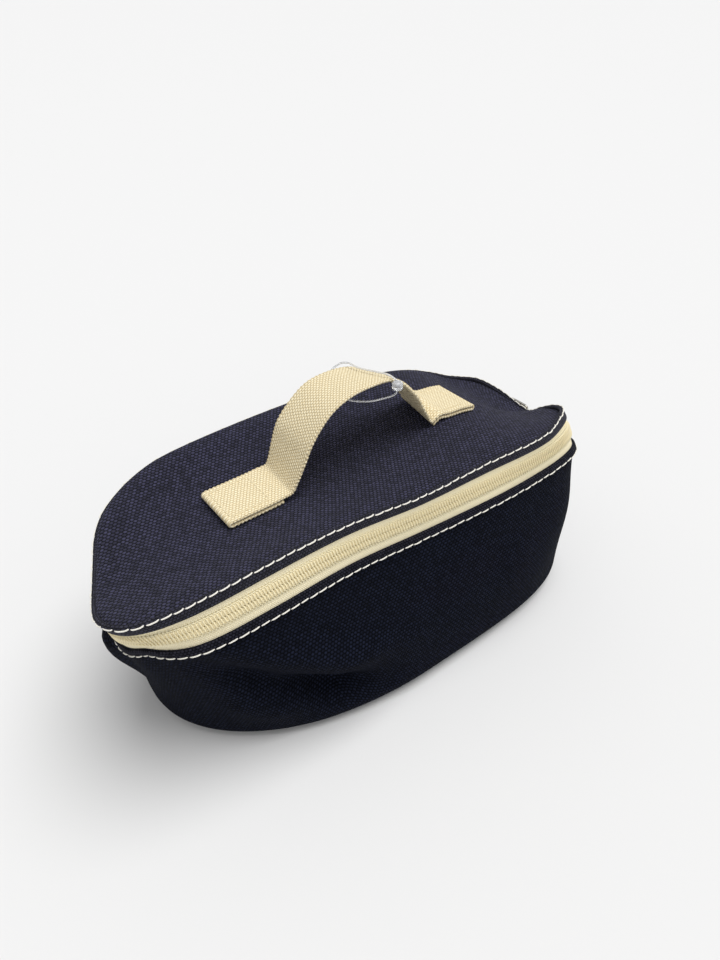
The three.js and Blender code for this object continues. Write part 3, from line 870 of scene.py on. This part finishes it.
def makeLid():
    parts = (
        ("lid_panel", lidPoints, "canvas", lidCloth, "lid_shell"),
        ("lid_foam_pad", lidPoints[1:], "foam", foamCore, "lid_foam"),
        ("lid_foil", lidPoints[1:], "foil", foilSheet, "lid_liner"),
    )
    for name, skin, layer, material, node in parts:
        piece = skinLayer(name, skin, *layers[layer], material, 1)
        finishPiece(piece, "lid", layer, node)


makeTub(tub)
makeLid()
print("tub and lid skins ready")


def roundedBar(out, up, radius, steps=4, sideSteps=1):
    # The outline of a flat bar with rounded corners, from (low, high) pairs.
    profile = []
    for signOut, signUp, start in ((1, 1, 0), (-1, 1, 90), (-1, -1, 180), (1, -1, 270)):
        cornerOut = (out[1] if signOut > 0 else out[0]) - signOut * radius
        cornerUp = (up[1] if signUp > 0 else up[0]) - signUp * radius
        for k in range(steps + 1):
            angle = math.radians(start + 90 * k / steps)
            profile.append((cornerOut + radius * math.cos(angle), cornerUp + radius * math.sin(angle)))
        if signOut != signUp:
            last = profile[-1]
            nextUp = up[0] + radius if signOut < 0 else up[1] - radius
            for k in range(1, sideSteps):
                profile.append((last[0], last[1] + (nextUp - last[1]) * k / sideSteps))
    return profile


def sweepBand(name, profile, start, stop, step, material):
    # Sweeps a closed outline of (out, up) along the zip line.
    whole = stop - start >= 1
    where, lengths = placesAtStep(start, stop, step)
    if whole:
        where = where[:-1]
    rows = []
    for out, up in profile:
        rows.append(bandPoints(np.full(len(where), out), np.full(len(where), up), where))
    girth = runLengths(np.array(profile + profile[:1]))
    return gridObject(name, np.array(rows) * mm, lengths[None, :] * mm, girth[:, None] * mm, material,
                      closeRows=True, closeColumns=whole, caps=not whole)


hem = {
    "out": (-1.3, 0.9),
    "up": {"lid": (5.6, 11.0), "tub": (-11.2, -7.3)},
    "radius": 0.7,
    "stitchUp": {"lid": 10.5, "tub": -10.6},
    "stitchOut": 1.1,
}
seam = {"pitch": 4.35, "length": 3.85, "thick": 0.62, "slant": 0.14, "dive": 0.55,
        "uneven": {"length": 0.03, "lift": 0.1, "up": 0.12}}


def seamPaths(out, up, start, stop, settings):
    # Centre lines of the stitches: each rises from the cloth, runs a little askew and dives back.
    where, lengths = placesAtStep(start, stop, settings["pitch"])
    total = zipBand["run"][-1]
    edges = np.append(zipBand["where"], 1.0)
    uneven = settings["uneven"]
    paths = []
    for i, middle in enumerate((lengths[:-1] + lengths[1:]) / 2):
        reach = settings["length"] * (0.5 + uneven["length"] * math.sin(i * 2.4))
        s = np.linspace(-1, 1, 9)
        at = middle + s * reach
        spots = np.interp(np.mod(at, total), zipBand["run"], edges) + np.floor(at / total)
        lift = out - settings["dive"] * s**4 + uneven["lift"] * math.sin(i * 1.7)
        askew = up + s * settings["slant"] + uneven["up"] * math.sin(i * 3.1)
        paths.append(bandPoints(lift, askew, spots) * mm)
    return paths


def makeHems(settings):
    for name, body, node in (("lid", "lid", "lid_hem"), ("tub", "bag_body", "body_hem")):
        profile = roundedBar(settings["out"], settings["up"][name], settings["radius"])
        roll = sweepBand(name + "_hem_roll", profile, 0, 1, 1.2, hemCloths[name])
        finishPiece(roll, body, "canvas", node)
        paths = seamPaths(settings["stitchOut"], settings["stitchUp"][name], 0, 1, seam)
        stitches = tubes(name + "_seam_stitches", paths, seam["thick"] / 2 * mm, 8, seamThread,
                         flat=0.8)
        finishPiece(stitches, body, "thread", node.replace("hem", "thread"))


makeHems(hem)
print("hems and seams ready")


def joinPieces(name, pieces):
    # Makes one piece of several closed ones.
    merged = bmesh.new()
    for piece in pieces:
        merged.from_mesh(piece.data)
    mesh = pieces[0].data
    merged.to_mesh(mesh)
    merged.free()
    for piece in pieces[1:]:
        bpy.data.objects.remove(piece)
    pieces[0].name = name
    return pieces[0]


fastener = {
    "middle": -0.5,
    "tape": {"out": (-1.1, -0.5), "reach": (0.9, 9.2), "radius": 0.28},
    "coil": {"middle": 1.25, "halfWidth": 1.5, "thick": 0.66, "pitch": 1.3, "deep": 0.42, "out": 0.2},
    "core": {"out": (-0.5, 0.28), "reach": (0.12, 2.5), "radius": 0.3},
    "rows": {"up": (2.9, 3.55), "out": (0.05, -0.28), "thick": 0.6, "share": 0.34, "dive": 0.3},
    "inset": 0.004,
    "step": 1.2,
}


def coilPath(side, settings, start, stop):
    # A flattened helix with its turns across the tape, as the teeth of one half.
    coil = settings["coil"]
    where, lengths = placesAtStep(start, stop, coil["pitch"] / 10)
    turn = lengths / coil["pitch"] * 2 * math.pi + (math.pi if side < 0 else 0)
    up = settings["middle"] + side * coil["middle"] + coil["halfWidth"] * np.cos(turn)
    out = coil["out"] + coil["deep"] * np.sin(turn)
    return bandPoints(out, up, where) * mm


def rowPaths(side, settings, start, stop):
    # Two rows of short stitches holding the coil to its tape.
    paths = []
    rows = settings["rows"]
    where, _ = placesAtStep(start, stop, settings["coil"]["pitch"])
    half = rows["share"] * (where[1] - where[0])
    s = np.linspace(-1, 1, 5)
    for up, out in zip(rows["up"], rows["out"]):
        for middle in (where[:-1] + where[1:]) / 2:
            level = np.full(5, settings["middle"] + side * up)
            paths.append(bandPoints(out - rows["dive"] * s**2, level, middle + s * half) * mm)
    return paths


def makeFastener(settings):
    start, stop = zipStart + settings["inset"], zipStop - settings["inset"]
    coilRadius, rowRadius = settings["coil"]["thick"] / 2 * mm, settings["rows"]["thick"] / 2 * mm
    for name, sign, body, prefix in (("lid", 1, "lid", "lid"), ("tub", -1, "bag_body", "body")):

        def bar(part):
            # The outline of a flat layer of this half of the zip.
            reach = sorted(settings["middle"] + sign * value for value in settings[part]["reach"])
            return roundedBar(settings[part]["out"], reach, settings[part]["radius"], 2)

        tape = sweepBand(name + "_zip_tape", bar("tape"), zipStart, zipStop, settings["step"], tapeCloth)
        finishPiece(tape, body, "zip_tape", prefix + "_tape")
        turns = tubes(name + "_zip_coil", [coilPath(sign, settings, start, stop)], coilRadius, 6, coilNylon)
        core = sweepBand(name + "_core", bar("core"), start, stop, settings["step"], coilNylon)
        finishPiece(joinPieces(name + "_zip_coil", [turns, core]), body, "zip_coil", prefix + "_coil")
        paths = rowPaths(sign, settings, start, stop)
        finishPiece(tubes(name + "_coil_stitches", paths, rowRadius, 6, coilThread), body, "thread")


makeFastener(fastener)
print("zip ready")

hinge = {"out": (-1.0, -0.2), "up": (-9.5, 9.5), "radius": 0.35, "upSteps": 10,
         "start": 0.068, "stop": 0.432, "step": 1.6, "bend": 4.5}
binding = {"out": (-5.4, -1.4), "up": {"lid": (4.6, 7.2), "tub": (-10.2, -7.4)}, "radius": 0.6,
           "step": 1.6}


def makeBackAndBindings():
    profile = roundedBar(hinge["out"], hinge["up"], hinge["radius"], 2, hinge["upSteps"])
    strip = sweepBand("hinge_strip", profile, hinge["start"], hinge["stop"], hinge["step"], bindingCloth)
    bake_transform(strip)
    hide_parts("hinge_panel")
    for name, body, node in (("lid", "lid", "lid_binding"), ("tub", "bag_body", "body_binding")):
        profile = roundedBar(binding["out"], binding["up"][name], binding["radius"])
        tape = sweepBand(name + "_binding_tape", profile, 0, 1, binding["step"], bindingCloth)
        finishPiece(tape, body, "binding", node)


makeBackAndBindings()


def softBlock(name, outline, depths, material, frameAt, bevel=0.25):
    # A flat outline of (along, up) points given depth out from the band, with eased edges.
    origin, ahead, tall, face = frameAt
    rings = []
    shape = np.array(outline, float)
    inward = unit(np.mean(outline, axis=0) - shape)
    easing = ((0, bevel), (bevel * 0.4, bevel * 0.3), (bevel, 0))
    steps = [(depths[0] + raised, shrink) for raised, shrink in easing]
    steps += [(depths[1] - raised, shrink) for raised, shrink in reversed(easing)]
    for depth, shrink in steps:
        ring = shape + inward * shrink
        rings.append(origin + ahead * ring[:, :1] + tall * ring[:, 1:] + face * depth)
    points = np.concatenate(rings) * mm
    count = len(outline)
    faces = gridFaces(len(rings), count, False, True)[0].tolist()
    faces.append(list(range(count))[::-1])
    faces.append([(len(rings) - 1) * count + i for i in range(count)])
    return meshObject(name, points, faces, material, sharp=40)


def roundedOutline(halfAlong, halfUp, radius, steps=5):
    return roundedBar((-halfAlong, halfAlong), (-halfUp, halfUp), radius, steps)


def frameAtPlace(where):
    at = np.array([where])
    turned = [unit(sampleRound(zipBand[key], at))[0] for key in ("ahead", "tall", "face")]
    return sampleRound(zipBand["points"], at)[0], *turned


stopClamp = {"halfAlong": 1.5, "halfUp": 1.35, "radius": 0.6, "depths": (-1.4, 1.3), "up": 1.75,
             "inset": 0.002}


def makeStops(settings):
    outline = roundedOutline(settings["halfAlong"], settings["halfUp"], settings["radius"])
    for end, where in (("left", zipStart + settings["inset"]), ("right", zipStop - settings["inset"])):
        origin, ahead, tall, face = frameAtPlace(where)
        for half, sign, body in (("lower", -1, "bag_body"), ("upper", 1, "lid")):
            spot = origin + tall * sign * settings["up"]
            clamp = softBlock("stop_" + end + "_" + half, outline, settings["depths"], nickel,
                              (spot, ahead, tall, face))
            finishPiece(clamp, body, "nickel", "zip_stop_" + end + "_" + half)


makeStops(stopClamp)
print("bindings, hinge and stops ready")

slider = {
    "length": 9.0,
    "ease": 0.3,
    "wideHalf": 3.9,
    "narrowHalf": 3.2,
    "outer": (1.4, 2.4),
    "inner": (-2.6, -1.7),
    "post": {"halfAlong": 1.2, "halfUp": 0.45, "radius": 0.3, "at": 2.6, "sunk": 0.2, "ease": 0.1},
    "bridge": {"reach": 3.0, "height": 2.5, "width": 2.2, "flat": 0.42, "sunk": 0.3},
    "tab": {
        "length": 26.0,
        "half": 3.7,
        "thick": 1.2,
        "samples": 96,
        "eye": {"middle": (-1.2, 0), "reach": (1.15, 1.3)},
        "ease": {"outer": 0.25, "inner": 0.2},
        "grip": {"share": (0.72, 0.62), "along": -5.2, "raised": 0.22, "sunk": 0.1, "ease": 0.12},
    },
}


def sliderFrame():
    # The slider runs straight along Y, upright at the right end of the bag.
    low, high = (np.array(corner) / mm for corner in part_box("slider_body"))
    y = (low[1] + high[1]) / 2
    right = zipBand["points"][np.argmax(zipBand["points"][:, 0])]
    nearest = np.argmin(np.abs(zipBand["points"][:, 1] - y) + (zipBand["points"][:, 0] < 0) * 1e3)
    spot = zipBand["points"][nearest].copy()
    spot[0] = max(spot[0], right[0] - 0.4)
    spot[1] = y
    return spot, np.array((0, 1.0, 0)), np.array((0, 0, 1.0)), np.array((1.0, 0, 0))


def makeSlider(settings):
    frameAt = sliderFrame()
    origin, ahead, tall, face = frameAt
    half = settings["length"] / 2
    wide, narrow = settings["wideHalf"], settings["narrowHalf"]
    side = [(half, 1.2), (half - 0.8, wide - 0.4), (half - 2, wide), (0, wide - 0.5),
            (-half + 2.2, narrow), (-half + 0.7, narrow - 0.5), (-half, narrow - 1.4)]
    outline = side + [(along, -up) for along, up in reversed(side)]
    work = []
    for part, depths in (("outer", settings["outer"]), ("inner", settings["inner"])):
        work.append(softBlock("slider_" + part, outline, depths, nickel, frameAt, settings["ease"]))
    post = settings["post"]
    wedge = roundedOutline(post["halfAlong"], post["halfUp"], post["radius"])
    spot = (origin + ahead * post["at"], ahead, tall, face)
    depths = (settings["inner"][1] - post["sunk"], settings["outer"][0] + post["sunk"])
    work.append(softBlock("slider_post", wedge, depths, nickel, spot, post["ease"]))
    bridge = settings["bridge"]
    arch = []
    for angle in np.linspace(0, math.pi, 17):
        lift = settings["outer"][1] - bridge["sunk"] + bridge["height"] * math.sin(angle) ** 0.7
        arch.append(origin + ahead * (-bridge["reach"] * math.cos(angle)) + face * lift)
    work.append(tubes("slider_bridge", [np.array(arch) * mm], bridge["width"] / 2 * mm, 12, nickel,
                      flat=bridge["flat"], up=(1, 0, 0)))
    return joinPieces("zip_slider_shell", work)


def makeTab(settings):
    # A flat pull with an eye at the hinge end and a raised grip, hanging towards -Y.
    tall, face = sliderFrame()[2:]
    along = np.array((0, 1.0, 0))
    pivot = np.array(next(j for j in frame["joints"] if j["name"] == "tab_swing")["pos_m"]) / mm
    pivot[2] = sliderFrame()[0][2]
    tab = settings["tab"]
    half, end = tab["thick"] / 2, -tab["length"]
    rim = [(1.6, 0), (1.1, 1.3), (-0.8, 2.2), (-4, 2.5), (-8, 2.8), (-15, tab["half"]),
           (end + 2.5, tab["half"]), (end + 0.6, 2.6), (end, 0)]
    loop = rim + [(reach, -up) for reach, up in reversed(rim[1:-1])]
    count = len(loop)
    at = np.linspace(0, count, tab["samples"], endpoint=False)
    path = [smoothKeys({i: spot[k] for i, spot in enumerate(loop)}, at, count) for k in range(2)]
    turn = at / count * 2 * math.pi
    eye = tab["eye"]
    circle = (np.cos(turn), np.sin(turn))
    hole = [eye["middle"][k] + circle[k] * eye["reach"][k] for k in range(2)]
    outer, inner = (pivot + along * ring[0][:, None] + tall * ring[1][:, None] for ring in (path, hole))
    rings = []
    for ring, side, ease in ((outer, 1, tab["ease"]["outer"]), (inner, -1, tab["ease"]["inner"])):
        for offset, toward in ((-half, ease), (-half + ease, 0), (half - ease, 0), (half, ease)):
            shift = unit(ring.mean(axis=0) - ring) * toward
            rings.append(ring + (shift + face * offset) * side)
    plate = gridObject("pull_tab_plate", np.array(rings) * mm, 0, 0, nickel, closeRows=True,
                       closeColumns=True)
    grip = tab["grip"]
    longShare, tallShare = grip["share"]
    outline = [(reach * longShare + grip["along"], up * tallShare) for reach, up in loop[3:-2]]
    pad = softBlock("pull_tab_grip", outline, (half - grip["sunk"], half + grip["raised"]), nickel,
                    (pivot, along, tall, face), grip["ease"])
    return joinPieces("pull_tab_leaf", [plate, pad])


finishPiece(makeSlider(slider), "zip_slider", "nickel", "slider_body")
finishPiece(makeTab(slider), "pull_tab", "nickel", "pull_tab")
print("slider ready")

# The handle strap is drawn by its two edges: (x, height) along the front and the back
# one. Heights are above the lid at the sewn ends and above the zip in the arch.
strap = {
    "width": 25.0,
    "thick": 1.5,
    "sewn": (-38.2, 43.0),
    "archBase": 88,
    "front": [(-63.5, 2.2), (-58, 2.2), (-51, 2.1), (-44, 2.0), (-38.5, 2.2), (-34.5, 4.4),
              (-31.5, 9), (-28, 15.5), (-23, 25), (-15, 34), (-6, 38.6), (5, 40.2), (18, 38.8),
              (29, 28.5), (37, 14.5), (41, 9.4), (46, 3.4), (52, 2.2), (60, 2.2), (66.5, 2.2)],
    "back": [(-63.5, 2.2), (-58, 2.2), (-51, 2.1), (-44, 2.0), (-38.5, 2.1), (-33, 3.8),
             (-30.5, 8), (-28, 16), (-24, 25), (-13, 34.8), (-3, 37.6), (10, 36.8), (21, 32),
             (30, 27), (37, 21.5), (42, 13.5), (46, 5.5), (52, 2.4), (60, 2.2), (66.5, 2.2)],
    "samples": 640,
    "foldCount": 128,
    "foldRadius": 0.12,
    "scallop": {"step": 1.9, "deep": 0.14, "rise": 0.22, "band": 1.4},
    "weaveRows": 14,
}
boxStitch = {"x": (44.5, 62.5), "half": 9.5, "pitch": 3.0, "length": 2.7, "thick": 0.5, "lift": 0.1,
             "dive": 0.35}


def lidHeight(x, y):
    # The lid's own height under a spot, from its nearest points.
    flat = lidPoints[:, :, :2].reshape(-1, 2)
    away = np.hypot(flat[:, 0] - x, flat[:, 1] - y)
    near = np.argpartition(away, 6)[:6]
    weight = 1 / (away[near] + 0.2) ** 2
    return float((lidPoints[..., 2].reshape(-1)[near] * weight).sum() / weight.sum())


def strapEdge(settings, key, y):
    low, high = settings["sewn"]
    line = [(x, z + (settings["archBase"] if low < x < high else lidHeight(x, y)))
            for x, z in settings[key]]
    at = np.linspace(0, len(line) - 1, settings["samples"])
    x, z = (smoothKeys({i: spot[k] for i, spot in enumerate(line)}, at) for k in range(2))
    return np.stack([x, np.full(len(x), float(y)), z], 1)


def foldedEnd(edge, count, radius, sign):
    # The run of webbing turned under at a sewn end, from its cut edge to the fold.
    under = edge[:count][::-1] - (0, 0, 2 * radius)
    angles = np.linspace(-math.pi / 2, math.pi / 2, 11)[1:-1]
    turn = np.stack([-sign * np.cos(angles), 0 * angles, np.sin(angles) - 1], 1) * radius
    return np.concatenate([under, edge[0] + turn])


def makeStrap(settings):
    half = settings["width"] / 2
    edges = [strapEdge(settings, "front", -half), strapEdge(settings, "back", half)]
    fold = (settings["foldCount"], settings["foldRadius"])
    front, back = (np.concatenate([foldedEnd(edge, *fold, 1), edge, foldedEnd(edge[::-1], *fold, -1)[::-1]])
                   for edge in edges)
    middle = (front + back) / 2
    run = runLengths(middle)
    side = unit(back - front)
    face = unit(np.cross(unit(np.gradient(middle, axis=0)), side))
    scallop = settings["scallop"]
    wave = np.sin(run * 2 * math.pi / scallop["step"])
    rows = []
    profile = roundedBar((0, settings["thick"]), (-half, half), 0.7, 4, settings["weaveRows"])
    for out, up in profile:
        share = (up + half) / (2 * half)
        edge = np.clip((abs(up) - half + scallop["band"]) / scallop["band"], 0, 1)
        sideways = scallop["deep"] * edge * np.sign(up) * wave
        over = out + scallop["rise"] * edge * (0.5 + 0.5 * wave) * (out > settings["thick"] / 2)
        spot = front * (1 - share) + back * share
        rows.append(spot + face * over[:, None] + side * sideways[:, None])
    girth = runLengths(np.array(profile + profile[:1]))
    webbing = gridObject("handle_webbing", np.array(rows) * mm, run[None, :] * mm, girth[:, None] * mm,
                         webbingCloth, closeRows=True, caps=True)
    finishPiece(webbing, "lid", "webbing", "handle_strap")
    return edges


def makeBoxStitches(settings, edges):
    # A rectangle of stitches on each sewn end, laid on the webbing's upper face.
    half = strap["width"] / 2
    near, far = settings["x"]

    def onStrap(x, y, lift):
        share = (y + half) / (2 * half)
        low, high = (np.interp(x, edge[:, 0], edge[:, 2]) for edge in edges)
        return np.stack([x, y, low * (1 - share) + high * share + strap["thick"] + lift], 1)

    for name, sign in (("left", -1), ("right", 1)):
        tall = settings["half"]
        corners = [(sign * near, -tall), (sign * far, -tall), (sign * far, tall), (sign * near, tall)]
        paths = []
        for start, stop in zip(corners, corners[1:] + corners[:1]):
            start, stop = np.array(start, float), np.array(stop, float)
            long = np.linalg.norm(stop - start)
            count = round(long / settings["pitch"])
            for i in range(count):
                s = np.linspace(-1, 1, 7)
                at = (i + 0.5) / count + s * settings["length"] / 2 / long
                spots = start + (stop - start) * at[:, None]
                lift = settings["lift"] - settings["dive"] * s**4
                paths.append(onStrap(spots[:, 0], spots[:, 1], lift) * mm)
        stitches = tubes("handle_stitches_" + name, paths, settings["thick"] / 2 * mm, 8, boxThread)
        finishPiece(stitches, "lid", "thread", "handle_stitch_" + name)


makeBoxStitches(boxStitch, makeStrap(strap))
print("handle ready")
